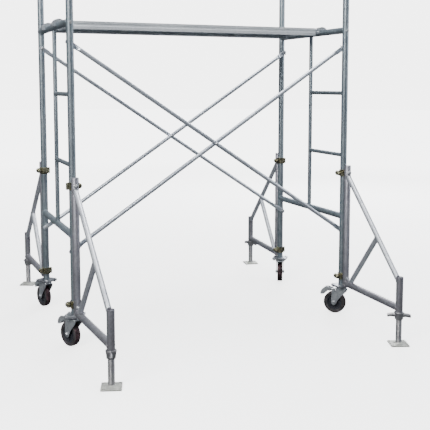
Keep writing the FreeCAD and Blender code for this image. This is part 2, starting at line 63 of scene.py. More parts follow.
class Wire:
    # a socket that can be added, multiplied and so on
    def __init__(self, paint, socket):
        self.paint, self.socket = paint, socket

    def work(self, operation, *values, clamp=False):
        return self.paint.node("ShaderNodeMath", {"operation": operation, "use_clamp": clamp},
                               dict(enumerate(values)))

    def __add__(self, other):
        return self.work("ADD", self, other)

    def __radd__(self, other):
        return self.work("ADD", other, self)

    def __sub__(self, other):
        return self.work("SUBTRACT", self, other)

    def __rsub__(self, other):
        return self.work("SUBTRACT", other, self)

    def __mul__(self, other):
        return self.work("MULTIPLY", self, other)

    def __rmul__(self, other):
        return self.work("MULTIPLY", other, self)


class Paint:
    # the nodes of a material or of the world
    def __init__(self, owner, place="Object"):
        owner.use_nodes = True
        self.owner, self.tree = owner, owner.node_tree
        self.tree.nodes.clear()
        self.place = self.node("ShaderNodeTexCoord", output=place)

    def node(self, kind, settings=None, sockets=None, output=0):
        made = self.tree.nodes.new(kind)
        for key, value in (settings or {}).items():
            if key == "stops":
                ramp = made.color_ramp
                while len(ramp.elements) < len(value):
                    ramp.elements.new(0.5)
                for stop, (where, colour) in zip(ramp.elements, value):
                    stop.position = where
                    stop.color = (*colour, 1) if isinstance(colour, tuple) else (colour, colour, colour, 1)
            else:
                setattr(made, key, value)
        for key, value in (sockets or {}).items():
            target = made.inputs[key]
            if isinstance(value, Wire):
                self.tree.links.new(value.socket, target)
            elif isinstance(value, tuple) and len(value) == 3 and len(target.default_value) == 4:
                target.default_value = (*value, 1)
            else:
                target.default_value = value
        return Wire(self, made.outputs[output]) if made.outputs else None

    def stretched(self, x, y, z):
        return self.node("ShaderNodeMapping", None, {"Vector": self.place, "Scale": (x, y, z)})

    def noise(self, scale, detail=3.0, rough=0.55, place=None):
        return self.node("ShaderNodeTexNoise", None, {"Vector": place or self.place, "Scale": scale,
                                                      "Detail": detail, "Roughness": rough})

    def cells(self, scale):
        return self.node("ShaderNodeTexVoronoi", None, {"Vector": self.place, "Scale": scale}, "Color")

    def red(self, colour):
        return self.node("ShaderNodeSeparateColor", None, {0: colour})

    def curve(self, value, *stops):
        return self.node("ShaderNodeValToRGB", {"stops": stops}, {"Fac": value})

    def blend(self, share, a, b, how="MIX"):
        return self.node("ShaderNodeMix", {"data_type": "RGBA", "blend_type": how}, {0: share, 6: a, 7: b}, 2)

    def height(self):
        # the Z of the place, which is metres above the floor on an object
        return self.node("ShaderNodeSeparateXYZ", None, {0: self.place}, output=2)

    def finish(self, colour, rough, metal, bump=None, strength=0.1, distance=0.001, shine=0.5):
        sockets = {"Base Color": colour, "Roughness": rough, "Metallic": metal, "Specular IOR Level": shine}
        if bump is not None:
            sockets["Normal"] = self.node("ShaderNodeBump", None, {"Height": bump, "Strength": strength,
                                                                   "Distance": distance})
        shade = self.node("ShaderNodeBsdfPrincipled", None, sockets)
        return self.output(shade)

    def output(self, shade):
        self.node("ShaderNodeOutputMaterial", None, {"Surface": shade})
        return self.owner


def surface(name):
    return Paint(bpy.data.materials.new(name))


galvanising = {
    # light and dark tone, scale of the clouds, stretch of the runs, smoothest and roughest, metal,
    # and how much dust lies low down
    "frameGalvanised": {"light": (0.33, 0.375, 0.41), "dark": (0.14, 0.175, 0.205), "cloud": 5.0,
                        "run": (26.0, 26.0, 1.6), "rough": (0.34, 0.56), "metal": 0.82, "dust": 0.25},
    "braceGalvanised": {"light": (0.80, 0.84, 0.90), "dark": (0.50, 0.54, 0.62), "cloud": 7.0,
                        "run": (3.0, 24.0, 3.0), "rough": (0.26, 0.42), "metal": 0.85, "dust": 0.0},
    "outriggerGalvanised": {"light": (0.35, 0.35, 0.39), "dark": (0.165, 0.165, 0.19), "cloud": 6.0,
                            "run": (20.0, 20.0, 2.0), "rough": (0.36, 0.60), "metal": 0.78, "dust": 0.45},
    "diagonalGalvanised": {"light": (0.82, 0.84, 0.88), "dark": (0.54, 0.56, 0.62), "cloud": 8.0,
                           "run": (18.0, 18.0, 3.0), "rough": (0.28, 0.45), "metal": 0.82, "dust": 0.0},
    "deckGalvanised": {"light": (0.76, 0.79, 0.82), "dark": (0.50, 0.53, 0.57), "cloud": 4.0,
                       "run": (1.5, 18.0, 18.0), "rough": (0.34, 0.55), "metal": 0.4, "dust": 0.0},
    "hookGalvanised": {"light": (0.50, 0.53, 0.56), "dark": (0.24, 0.26, 0.29), "cloud": 14.0,
                       "run": (30.0, 8.0, 30.0), "rough": (0.38, 0.6), "metal": 0.75, "dust": 0.0},
    "footGalvanised": {"light": (0.62, 0.63, 0.59), "dark": (0.30, 0.31, 0.29), "cloud": 30.0,
                       "run": (12.0, 12.0, 12.0), "rough": (0.42, 0.65), "metal": 0.4, "dust": 0.15},
    "jackGalvanised": {"light": (0.46, 0.46, 0.48), "dark": (0.22, 0.22, 0.24), "cloud": 12.0,
                       "run": (40.0, 40.0, 6.0), "rough": (0.32, 0.5), "metal": 0.85, "dust": 0.2},
    "casterZinc": {"light": (0.72, 0.75, 0.78), "dark": (0.36, 0.385, 0.42), "cloud": 26.0,
                   "run": (24.0, 24.0, 12.0), "rough": (0.24, 0.42), "metal": 0.8, "dust": 0.15},
    "mountZinc": {"light": (0.42, 0.44, 0.48), "dark": (0.17, 0.18, 0.21), "cloud": 34.0,
                  "run": (24.0, 24.0, 12.0), "rough": (0.30, 0.5), "metal": 0.85, "dust": 0.3},
    "boltZinc": {"light": (0.70, 0.72, 0.74), "dark": (0.38, 0.39, 0.42), "cloud": 30.0,
                 "run": (30.0, 30.0, 30.0), "rough": (0.28, 0.42), "metal": 0.9, "dust": 0.1},
}


def galvanised(name, look):
    # hot-dip zinc: cloudy patches, small crystals, faint runs, and dust low down
    paint = surface(name)
    cloud = paint.noise(look["cloud"], 5.0, 0.6)
    run = paint.noise(2.2, 4.0, 0.6, paint.stretched(*look["run"]))
    fine = paint.noise(240.0, 2.0)
    crystal = paint.red(paint.cells(120.0))
    tone = cloud * 0.95 + run * 0.75 + crystal * 0.28 + fine * 0.2 - 0.62
    share = tone.work("MULTIPLY", tone, 1.15, clamp=True)
    colour = paint.blend(share, look["dark"], look["light"])
    stain = paint.curve(paint.noise(3.3, 6.0, 0.7), (0.56, 0.0), (0.72, 1.0))
    colour = paint.blend(stain * 0.22, colour, tuple(0.75 * v for v in look["dark"]))
    if look["dust"]:
        low = paint.curve(paint.height() * 1.6 + paint.noise(18.0, 4.0) * 0.25, (0.10, 1.0), (0.62, 0.0))
        colour = paint.blend(low * look["dust"], colour, (0.20, 0.175, 0.15))
    smooth, rough = look["rough"]
    gloss = smooth + (rough - smooth) * (cloud * 0.6 + fine * 0.5)
    bump = crystal * 0.25 + fine * 0.5 + run * 0.4
    return paint.finish(colour, gloss, look["metal"], bump, 0.16, 0.0008)


def yellowZinc():
    # passivated steel: olive yellow with brown and green bloom
    paint = surface("clampYellowZinc")
    cloud = paint.noise(22.0, 5.0, 0.6)
    bloom = paint.noise(55.0, 3.0, 0.5)
    fine = paint.noise(420.0, 2.0)
    colour = paint.curve(cloud, (0.30, (0.10, 0.09, 0.06)), (0.46, (0.28, 0.27, 0.18)),
                         (0.58, (0.50, 0.49, 0.34)), (0.74, (0.33, 0.36, 0.26)))
    colour = paint.blend(paint.curve(bloom, (0.48, 0.0), (0.66, 1.0)) * 0.45, colour, (0.26, 0.17, 0.14))
    return paint.finish(colour, 0.16 + cloud * 0.24, 1.0, fine, 0.12, 0.0006)


rubbers = {
    # clean, dusty and worn rubber
    "tyreRubber": ((0.012, 0.012, 0.013), (0.040, 0.037, 0.039), (0.085, 0.078, 0.082)),
    "treadRubber": ((0.004, 0.003, 0.004), (0.030, 0.014, 0.020), (0.14, 0.085, 0.10)),
}


def rubber(name, clean, dusty, worn):
    paint = surface(name)
    dirt = paint.noise(30.0, 6.0, 0.65)
    fine = paint.noise(380.0, 3.0)
    colour = paint.curve(dirt + fine * 0.2 - 0.1, (0.32, clean), (0.50, dusty), (0.70, worn))
    return paint.finish(colour, 0.5 + dirt * 0.3, 0.0, fine + dirt * 0.6, 0.35, 0.0008, shine=0.3)


def wheelCore():
    # dark painted wheel centre with scuffs
    paint = surface("wheelCoreDark")
    cloud = paint.noise(40.0, 5.0)
    scuff = paint.noise(6.0, 5.0, 0.7, paint.stretched(40.0, 40.0, 9.0))
    fine = paint.noise(500.0, 2.0)
    colour = paint.blend(cloud, (0.010, 0.011, 0.015), (0.040, 0.043, 0.055))
    colour = paint.blend(paint.curve(scuff, (0.55, 0.0), (0.75, 1.0)) * 0.5, colour, (0.12, 0.12, 0.13))
    return paint.finish(colour, 0.42 + cloud * 0.25, 0.1, fine + scuff * 0.4, 0.2, 0.0006, shine=0.3)


finishes = {name: galvanised(name, look) for name, look in galvanising.items()}
finishes["clampYellowZinc"] = yellowZinc()
finishes.update({name: rubber(name, *tones) for name, tones in rubbers.items()})
finishes["wheelCoreDark"] = wheelCore()
print("finishes:", len(finishes))


# mesh tools, in millimetres


def skin(bm, rings, loop=False, caps=False):
    # joins rings of the same count into a surface
    made = [[bm.verts.new(p * mm) for p in ring] for ring in rings]
    count = len(made[0])
    for a, b in zip(made, made[1:] + made[:1] if loop else made[1:]):
        for i in range(count):
            bm.faces.new((a[i], a[(i + 1) % count], b[(i + 1) % count], b[i]))
    if caps:
        bm.faces.new(made[0][::-1])
        bm.faces.new(made[-1])


def facing(point, way, spin=0.0):
    # a frame at point whose Z is way
    return (Matrix.Translation(point) @ way.to_track_quat("Z", "Y").to_matrix().to_4x4()
            @ Matrix.Rotation(math.radians(spin), 4, "Z"))


def circle(at, radius, height=0.0, steps=40):
    angles = [2 * math.pi / steps * i for i in range(steps)]
    return [at @ Vector((radius * math.cos(a), radius * math.sin(a), height)) for a in angles]


def lathe(bm, profile, at=Matrix(), steps=48, loop=False):
    skin(bm, [circle(at, max(r, 0.0), h, steps) for r, h in profile], loop=loop)


def pipe(bm, start, end, radius, wall=tubeWall, steps=40, soft=0.7):
    # an open tube with slightly rounded rims
    long = (end - start).length
    inner = radius - wall
    lathe(bm, [(inner, 0.0), (inner + soft, 0), (radius - soft, 0), (radius, soft), (radius, long - soft),
               (radius - soft, long), (inner + soft, long), (inner, long)],
          facing(start, end - start), steps, True)


def bar(bm, start, end, radius, soft=0.8, steps=32):
    long = (end - start).length
    lathe(bm, [(0, 0), (radius - soft, 0), (radius, soft), (radius, long - soft), (radius - soft, long),
               (0, long)], facing(start, end - start), steps)


def prism(bm, outline, low, high, at=Matrix()):
    skin(bm, [[at @ Vector((x, y, z)) for x, y in outline] for z in (low, high)], caps=True)


def box(bm, x0, x1, y0, y1, z0, z1, at=Matrix()):
    prism(bm, [(x0, y0), (x1, y0), (x1, y1), (x0, y1)], z0, z1, at)


def arc(cx, cy, radius, start, end, steps=16):
    angles = [math.radians(start + (end - start) * i / steps) for i in range(steps + 1)]
    return [(cx + radius * math.cos(a), cy + radius * math.sin(a)) for a in angles]


def roundBox(half, radius, wide=None, steps=6):
    # outline of a rectangle with rounded corners
    x, y = half - radius, (wide or half) - radius
    outline = []
    for turn, (cx, cy) in enumerate(((x, y), (-x, y), (-x, -y), (x, -y))):
        outline += arc(cx, cy, radius, 90 * turn, 90 * turn + 90, steps)
    return outline


def soften(outline, times=2, share=0.22):
    # cuts the corners of a closed outline
    for _ in range(times):
        cut = []
        for (ax, ay), (bx, by) in zip(outline, outline[1:] + outline[:1]):
            cut.append((ax + (bx - ax) * share, ay + (by - ay) * share))
            cut.append((bx - (bx - ax) * share, by - (by - ay) * share))
        outline = cut
    return outline


def disc(bm, radius, thick, at, steps=32, soft=0.4):
    # a washer or a round head with softened edges
    lathe(bm, [(0, 0), (radius - soft, 0), (radius, soft), (radius, thick - soft), (radius - soft, thick),
               (0, thick)], at, steps)


def hexHead(bm, point, way, across, high, spin=0.0, washer=0.0):
    # a hexagon with an optional washer under it
    at = facing(point, way, spin)
    corner, thick = across / math.sqrt(3), 2.2
    if washer:
        disc(bm, washer, thick, at)
        at = at @ Matrix.Translation((0, 0, thick))
    rings = [circle(at, r, z, 6) for r, z in ((corner, 0), (corner, high - 1.2), (corner * 0.88, high))]
    skin(bm, rings, caps=True)


def threadBar(bm, start, end, radius, pitch=8.0, depth=1.5, steps=32, perTurn=6, flatten=1.6):
    # a long screw thread
    at = facing(start, end - start)
    long = (end - start).length
    count = int(long / pitch * perTurn)
    rings = []
    for n in range(count + 1):
        z = long * n / count
        ring = []
        for i in range(steps):
            wave = math.cos(2 * math.pi * (z / pitch - i / steps)) * flatten
            r = radius - depth / 2 + depth / 2 * max(-1.0, min(1.0, wave))
            a = 2 * math.pi * i / steps
            ring.append(at @ Vector((r * math.cos(a), r * math.sin(a), z)))
        rings.append(ring)
    skin(bm, rings, caps=True)


def runTo(main, point, way):
    # how far along way the skin of a main tube lies from a point; main is a point, a direction and a radius
    spot, axis, radius = main
    flat = way - axis * way.dot(axis)
    gap = point - spot
    gap = gap - axis * gap.dot(axis)
    a, b, c = flat.dot(flat), 2 * gap.dot(flat), gap.dot(gap) - radius ** 2
    return (-b + math.sqrt(max(b * b - 4 * a * c, 0.0))) / (2 * a)


def branch(bm, start, end, radius, startMain, endMain, wall=2.0, steps=40, sink=1.2):
    # a tube between two main tubes, its ends cut to sit on them
    way = (end - start).normalized()
    rings = []
    for size, spot, toward, (point, axis, mainRadius) in ((radius - wall, start, way, startMain),
                                                          (radius, start, way, startMain),
                                                          (radius, end, -way, endMain),
                                                          (radius - wall, end, -way, endMain)):
        main = point, axis, mainRadius - sink
        rings.append([p + toward * runTo(main, p, toward) for p in circle(facing(spot, way), size, 0, steps)])
    skin(bm, rings, loop=True)


def weld(bm, mainPoint, mainWay, mainRadius, branchPoint, branchWay, branchRadius, size=2.6, steps=44):
    # a bead along the line where a branch tube leaves a main tube; branchPoint lies on the main axis
    sides = 7
    mainWay, branchWay = mainWay.normalized(), branchWay.normalized()
    across = mainWay.cross(branchWay).normalized()
    over = branchWay.cross(across)
    points, outs = [], []
    for i in range(steps):
        t = 2 * math.pi * i / steps
        out = across * math.cos(t) + over * math.sin(t)
        p = branchPoint + out * branchRadius
        points.append(p + branchWay * runTo((mainPoint, mainWay, mainRadius), p, branchWay))
        outs.append(out)
    rings = []
    for i in range(steps):
        along = (points[(i + 1) % steps] - points[i - 1]).normalized()
        side = along.cross(outs[i]).normalized()
        reach = size * (1 + 0.16 * math.sin(i * 2 * math.pi / 4) + 0.1 * math.sin(i * 1.7))
        rings.append([points[i] + (outs[i] * math.cos(2 * math.pi * k / sides)
                                   + side * math.sin(2 * math.pi * k / sides)) * reach for k in range(sides)])
    skin(bm, rings, loop=True)


def piece(name, body, finish, slot, nodes=(), at=None, bevel=0.0, sharp=38.0):
    # starts a mesh; close(piece) makes it an object that rides on its body
    return {"name": name, "body": body, "finish": finish, "slot": slot, "nodes": nodes, "at": at,
            "bevel": bevel, "sharp": sharp, "bm": bmesh.new()}


def framePiece(name, nodes=(), **more):
    return piece(name, "tower", "frameGalvanised", "galvanised_frame", nodes, **more)


def zincPiece(name, body="tower", nodes=(), at=None, **more):
    return piece(name, body, "boltZinc", "zinc_hardware", nodes, at, **more)


def close(part):
    bm = part["bm"]
    bmesh.ops.remove_doubles(bm, verts=bm.verts, dist=1e-6)
    bmesh.ops.dissolve_degenerate(bm, edges=bm.edges, dist=1e-7)
    bmesh.ops.recalc_face_normals(bm, faces=bm.faces)
    if part["at"] is not None:
        bmesh.ops.transform(bm, matrix=part["at"], verts=bm.verts)
    mesh = bpy.data.meshes.new(part["name"])
    bm.to_mesh(mesh)
    bm.free()
    mesh.shade_smooth()
    mesh.set_sharp_from_angle(angle=math.radians(part["sharp"]))
    mesh.materials.append(finishes[part["finish"]])
    made = bpy.data.objects.new(part["name"], mesh)
    bpy.context.scene.collection.objects.link(made)
    if part["bevel"]:
        edge = made.modifiers.new("edges", "BEVEL")
        edge.width, edge.segments = part["bevel"] * mm, 2
        edge.limit_method, edge.angle_limit = "ANGLE", math.radians(40)
        edge.use_clamp_overlap = True
    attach(made, part["body"])
    if part["nodes"]:
        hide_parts(*part["nodes"])
    return made


def cornerPoint(corner, z=0.0):
    return Vector((corner["x"] * halfBay, corner["y"] * halfWidth, z))


def turnedAt(corner, angle):
    # metres: a frame on the corner's standard, turned about it
    return Matrix.Translation(cornerPoint(corner) * mm) @ Matrix.Rotation(math.radians(angle), 4, "Z")


# end frames

ladderFrame = {"foot": 200.0, "joint": 1958.0, "bottomRail": 670.0, "transom": 1910.0, "rung": 13.5,
               "rungWall": 2.0, "postTop": 2960.0, "endRails": (2440.0, 2920.0), "guard": 16.85,
               "guardWall": 2.3, "lockHole": 2050.0, "hole": 6.5}
spigot = {"radius": 18.6, "bore": 16.1, "half": 98.0, "collar": 22.6, "collarHigh": 4.0,
          "bolt": 5.0, "boltHigh": 1905.0}


def drill(made, point, way, radius, long=30.0):
    # cuts a round hole through one wall of a piece
    cutter, half = bmesh.new(), long / 2
    lathe(cutter, [(0, -half), (radius, -half), (radius, half), (0, half)], facing(point, way), 20)
    bmesh.ops.remove_doubles(cutter, verts=cutter.verts, dist=1e-6)
    bmesh.ops.recalc_face_normals(cutter, faces=cutter.faces)
    mesh = bpy.data.meshes.new("drill")
    cutter.to_mesh(mesh)
    cutter.free()
    tool = bpy.data.objects.new("drill", mesh)
    bpy.context.scene.collection.objects.link(tool)
    cut = made.modifiers.new("hole", "BOOLEAN")
    cut.operation, cut.object, cut.solver = "DIFFERENCE", tool, "EXACT"
    bpy.context.view_layer.update()
    done = bpy.data.meshes.new_from_object(made.evaluated_get(bpy.context.evaluated_depsgraph_get()))
    made.modifiers.remove(cut)
    old = made.data
    made.data = done
    bpy.data.meshes.remove(old)
    bpy.data.objects.remove(tool)
    bpy.data.meshes.remove(mesh)


def makeStandard(name, spot):
    part = framePiece("standard_" + name, ["standard_" + name])
    pipe(part["bm"], spot + up * ladderFrame["foot"], spot + up * ladderFrame["joint"], tubeRadius, steps=56)
    close(part)


def makeGuardPost(name, spot):
    # a tube closed at the top, with lock holes through both walls
    part = framePiece("guard_post_" + name, ["guard_posts"] if name == "left_front" else [])
    top, foot = ladderFrame["postTop"], ladderFrame["joint"] + spigot["collarHigh"]
    lathe(part["bm"], [(tubeRadius - tubeWall, foot), (tubeRadius - 0.6, foot), (tubeRadius, foot + 0.6),
                       (tubeRadius, top - 4), (tubeRadius - 1.2, top - 1.2), (tubeRadius - 4, top), (0, top),
                       (0, top - 6), (tubeRadius - tubeWall, top - 6)],
          Matrix.Translation(spot), 56, True)
    made = close(part)
    for side in (-1, 1):
        wall = Vector((0, side * tubeRadius, ladderFrame["lockHole"]))
        drill(made, spot + wall, ahead, ladderFrame["hole"])
    made.data.shade_smooth()
    made.data.set_sharp_from_angle(angle=math.radians(38))


def makeEndFrame(side, sx):
    # transom, bottom rail, ladder, guardrails and welds between the two standards of one end
    x = sx * halfBay
    low, high = ladderFrame["bottomRail"], ladderFrame["transom"]
    rungRadius, rungWall = ladderFrame["rung"], ladderFrame["rungWall"]
    front, rear = Vector((x, -halfWidth, 0)), Vector((x, halfWidth, 0))
    sink = ahead * 6    # how far a tube's end runs into the tube it meets
    for label, z in (("transom_" + side, high), ("bottom_rail_" + side, low)):
        part = framePiece(label, [label])
        pipe(part["bm"], front + sink + up * z, rear - sink + up * z, tubeRadius, steps=48)
        close(part)

    part = framePiece("ladder_upright_" + side, ["ladder_upright_" + side])
    inner = Vector((x, 0, 0))
    pipe(part["bm"], inner + up * (low + 8), inner + up * (high - 8), rungRadius, rungWall, 32)
    close(part)

    part = framePiece("rungs_" + side, ["ladder_rungs"] if sx < 0 else [])
    rungs = [low + (high - low) / 3 * n for n in (1, 2)]
    for z in rungs:
        pipe(part["bm"], front + sink + up * z, inner - ahead * 4 + up * z, rungRadius, rungWall, 32)
    close(part)

    part = framePiece("end_guard_rails_" + side, ["end_guard_rails"] if sx < 0 else [])
    for z in ladderFrame["endRails"]:
        pipe(part["bm"], front + sink + up * z, rear - sink + up * z, ladderFrame["guard"],
             ladderFrame["guardWall"], 40)
    close(part)

    part = framePiece("frame_welds_" + side, sharp=75)
    for post, way in ((front, ahead), (rear, -ahead)):
        for z in (low, high):
            weld(part["bm"], post, up, tubeRadius, post + up * z, way, tubeRadius, 3.0)
        for z in ladderFrame["endRails"]:
            weld(part["bm"], post, up, tubeRadius, post + up * z, way, ladderFrame["guard"])
    for z in rungs:
        weld(part["bm"], front + up * z, up, tubeRadius, front + up * z, ahead, rungRadius, 2.2)
        weld(part["bm"], inner, up, rungRadius, inner + up * z, -ahead, rungRadius, 2.0)
    for spot, way in ((inner + up * low, up), (inner + up * high, -up)):
        weld(part["bm"], spot, ahead, tubeRadius, spot, way, rungRadius, 2.2)
    close(part)


def makeSpigots():
    # the tube inside each joint, with the collar that shows between standard and post
    radius, bore, half = spigot["radius"], spigot["bore"], spigot["half"]
    collar, high = spigot["collar"], spigot["collarHigh"]
    part = framePiece("spigot_collars", ["spigots"])
    profile = [(radius, -half), (radius, 0), (collar - 0.6, 0), (collar, 0.8), (collar, high - 0.8),
               (collar - 0.6, high), (radius, high), (radius, half), (bore, half), (bore, -half)]
    for corner in corners.values():
        at = Matrix.Translation(cornerPoint(corner, ladderFrame["joint"]))
        lathe(part["bm"], profile, at, 56, True)
    close(part)

    part = zincPiece("spigot_bolts", nodes=["spigot_bolts"], sharp=30)
    skinAt = tubeRadius + 0.2
    for corner in corners.values():
        spot = cornerPoint(corner, spigot["boltHigh"])
        hexHead(part["bm"], spot - ahead * skinAt, -ahead, 17, 6.4, 12, 10)
        hexHead(part["bm"], spot + ahead * skinAt, ahead, 17, 8, 12, 10)
        bar(part["bm"], spot - ahead * tubeRadius, spot + ahead * (tubeRadius + 15), spigot["bolt"])
    close(part)


for name, corner in corners.items():
    makeStandard(name, cornerPoint(corner))
    makeGuardPost(name, cornerPoint(corner))
for side, sx in (("left", -1), ("right", 1)):
    makeEndFrame(side, sx)
makeSpigots()
print("end frames done")


# guardrails along the sides

sideGuard = {"drop": 55.0, "claw": 27.0, "high": 44.0, "open": 34.0}
part = framePiece("side_guard_rails", ["side_guard_rails"])
reach = right * (halfBay - tubeRadius - 2)
for sy in (-1, 1):
    for high in ladderFrame["endRails"]:
        middle = Vector((0, sy * halfWidth, high - sideGuard["drop"]))
        pipe(part["bm"], middle - reach, middle + reach, ladderFrame["guard"], ladderFrame["guardWall"], 40)
close(part)

part = framePiece("side_guard_claws", bevel=0.9)
gap, half = sideGuard["open"], sideGuard["high"] / 2
claw = arc(0, 0, sideGuard["claw"], gap, 360 - gap, 36) + arc(0, 0, tubeRadius + 0.3, 360 - gap, gap, 36)
for sy in (-1, 1):
    for high in ladderFrame["endRails"]:
        for sx in (-1, 1):
            spot = Vector((sx * halfBay, sy * halfWidth, high - sideGuard["drop"]))
            turn = Matrix.Rotation(0 if sx > 0 else math.pi, 4, "Z")
            prism(part["bm"], claw, -half, half, Matrix.Translation(spot) @ turn)
            weld(part["bm"], spot, up, sideGuard["claw"], spot, right * -sx, ladderFrame["guard"], 2.2)
close(part)
print("side guards done")


# cross braces

brace = {"radius": 12.7, "low": 575.0, "high": 1794.0, "offset": 19.0, "spacing": 26.0, "flat": 2.0,
         "tab": 15.0, "tip": 22.0, "crimpStart": 76.0, "crimpEnd": 40.0, "stud": 10.5, "studLong": 50.0}
braceLong = math.hypot(2 * halfBay, brace["high"] - brace["low"])
braceTilt = math.atan2(brace["high"] - brace["low"], 2 * halfBay)


def axisOffset(inner):
    # how far the tube's axis lies inside the standards' plane
    return brace["offset"] + (brace["spacing"] if inner else 0)


def flatOffset(inner):
    # the same for its flattened ends
    axis, lift = axisOffset(inner), brace["radius"] - brace["flat"]
    return axis - lift if inner else axis + lift


def braceSection(fromPin, axis, flat):
    # half height, half thickness, depth and squareness of the tube at a distance inside the pin
    share = (brace["crimpStart"] - fromPin) / (brace["crimpStart"] - brace["crimpEnd"])
    share = max(0.0, min(1.0, share))
    ease = share * share * (3 - 2 * share)
    half = brace["radius"] + (brace["tab"] - brace["radius"]) * ease
    over = -fromPin - (brace["tip"] - brace["tab"])
    if over > 0:
        half = math.sqrt(max(brace["tab"] ** 2 - over ** 2, 0.4))
    thick = brace["radius"] + (brace["flat"] - brace["radius"]) * ease
    return half, thick, axis + (flat - axis) * ease, 2 + 3.5 * ease


def superRing(half, thick, power, steps=28):
    # an oval that gets squarer as power grows
    ring = []
    for i in range(steps):
        t = 2 * math.pi * i / steps
        c, s = math.cos(t), math.sin(t)
        ring.append((math.copysign(abs(c) ** (2 / power), c) * half,
                     math.copysign(abs(s) ** (2 / power), s) * thick))
    return ring


def makeBrace(label, sy, inner):
    part = piece(label, "tower", "braceGalvanised", "bright_brace", [label], sharp=50)
    axis, flat = axisOffset(inner), flatOffset(inner)
    tilt = braceTilt if inner else -braceTilt
    along = Vector((math.cos(tilt), 0, math.sin(tilt)))
    over = Vector((-math.sin(tilt), 0, math.cos(tilt)))
    middle = Vector((0, sy * halfWidth, (brace["low"] + brace["high"]) / 2))
    # sections close together over the tip, the flat and the crimp, by distance inside the pin
    marks = [-21.9, -21.2, -19.4, -16.8, -13, -8, -2, 10, 25, 38, *range(42, 79, 4), 84, 200, 420, 680]
    ends = [braceLong / 2 - mark for mark in marks]
    rings = []
    for s in [-end for end in ends] + [0] + ends[::-1]:
        half, thick, depth, power = braceSection(braceLong / 2 - abs(s), axis, flat)
        rings.append([middle + along * s + over * h + ahead * -sy * (depth + t)
                      for h, t in superRing(half, thick, power)])
    skin(part["bm"], rings, caps=True)
    close(part)


for label, sy in (("front", -1), ("rear", 1)):
    makeBrace("brace_" + label + "_rising", sy, True)
    makeBrace("brace_" + label + "_falling", sy, False)

part = zincPiece("brace_rivets", nodes=["brace_rivets"])
for sy in (-1, 1):
    low = brace["offset"] - brace["radius"] - 4
    long = brace["spacing"] + 2 * brace["radius"] + 8
    at = facing(Vector((0, sy * (halfWidth - low), (brace["low"] + brace["high"]) / 2)), ahead * -sy)
    head = [(0, 0), (4, 0.3), (7, 1.4), (9, 3.6), (9, 4.0), (5, 4.2)]
    lathe(part["bm"], head + [(r, long - h) for r, h in head[::-1]], at, 32)
close(part)

part = zincPiece("brace_studs", nodes=["brace_studs"], sharp=30)
nuts = zincPiece("brace_wing_nuts", nodes=["brace_wing_nuts"], bevel=0.8)
welds = framePiece("stud_welds", sharp=75)
nutWing = soften([(6, 1), (12, 1.5), (21, 10), (20, 15), (14, 12), (6, 8)])
stud, studLong = brace["stud"], brace["studLong"]
for corner in corners.values():
    for number, z in enumerate((brace["low"], brace["high"])):
        inner = (corner["x"] < 0) == (z == brace["low"])
        way = ahead * -corner["y"]
        spot = cornerPoint(corner, z)
        shoulder = flatOffset(inner) - brace["flat"] - 0.3
        lathe(part["bm"], [(0, 14), (stud, 14), (stud, shoulder - 0.8), (stud - 0.8, shoulder), (6, shoulder),
                           (6, studLong - 1), (5, studLong), (0, studLong)], facing(spot, way), 32)
        weld(welds["bm"], spot, up, tubeRadius, spot, way, stud, 1.8, 32)
        seat = flatOffset(inner) + brace["flat"] + 0.3
        at = facing(spot + way * seat, way, 20 + 47 * number + 31 * (corner["x"] + corner["y"]))
        lathe(nuts["bm"], [(6.1, 0), (10, 0), (10, 3), (8.6, 9), (6.1, 9)], at, 28, True)
        for turn in (0, math.pi):
            prism(nuts["bm"], nutWing, -1.9, 1.9,
                  at @ Matrix.Rotation(turn, 4, "Z") @ Matrix.Rotation(math.pi / 2, 4, "X"))
for each in (part, nuts, welds):
    close(each)
print("braces done")


# catwalk

catwalk = {"top": 1940.0, "middle": 40.0, "wide": 420.0, "long": 1704.0, "sheet": 2.0, "railHigh": 48.0,
           "railWide": 26.0, "hookGap": 344.0, "hookWide": 50.0, "hookRadius": 41.0, "hookDrop": 8.0,
           "holeRadius": 6.5, "columns": 39, "rows": 9, "bars": (-1, -0.5, 0.0, 0.5, 1)}
deckLow = catwalk["middle"] - catwalk["wide"] / 2
deckHigh = catwalk["middle"] + catwalk["wide"] / 2
halfLong = catwalk["long"] / 2
under = catwalk["top"] - catwalk["sheet"]


def deckCell(bm, cx, cy, halfX, halfY, steps=16):
    # one square of the sheet with a raised-rim hole through it
    square = []
    for i in range(steps):
        a = 2 * math.pi * (i + 0.5) / steps
        c, s = math.cos(a), math.sin(a)
        reach = 1 / max(abs(c), abs(s))
        square.append((cx + c * reach * halfX, cy + s * reach * halfY))
    for n, (sx, sy) in zip((1, 5, 9, 13), ((1, 1), (-1, 1), (-1, -1), (1, -1))):
        square[n] = (cx + sx * halfX, cy + sy * halfY)    # the points nearest the corners go onto them
    hole, top = catwalk["holeRadius"], catwalk["top"]
    at = Matrix.Translation((cx, cy, 0)) @ Matrix.Rotation(math.pi / steps, 4, "Z")
    rim = ((5.5, top), (3, top + 1.0), (1.2, top + 1.9), (0, top + 1.2), (0, under), (4, under))
    rings = [circle(at, hole + more, z, steps) for more, z in rim]
    skin(bm, [[Vector((x, y, top)) for x, y in square], *rings, [Vector((x, y, under)) for x, y in square]])


def deckPiece(name, nodes, **more):
    return piece(name, "tower", "deckGalvanised", "deck_steel", nodes, **more)


def makeDeckPanel():
    part = deckPiece("deck_panel", ["deck_panel"], sharp=40)
    halfX, halfY = catwalk["long"] / catwalk["columns"] / 2, catwalk["wide"] / catwalk["rows"] / 2
    for column in range(catwalk["columns"]):
        cx = -halfLong + halfX * (2 * column + 1)
        for row in range(catwalk["rows"]):
            deckCell(part["bm"], cx, deckLow + halfY * (2 * row + 1), halfX, halfY)
    rim = [(-halfLong, deckLow), (halfLong, deckLow), (halfLong, deckHigh), (-halfLong, deckHigh)]
    skin(part["bm"], [[Vector((x, y, z)) for x, y in rim] for z in (under, catwalk["top"])])
    close(part)


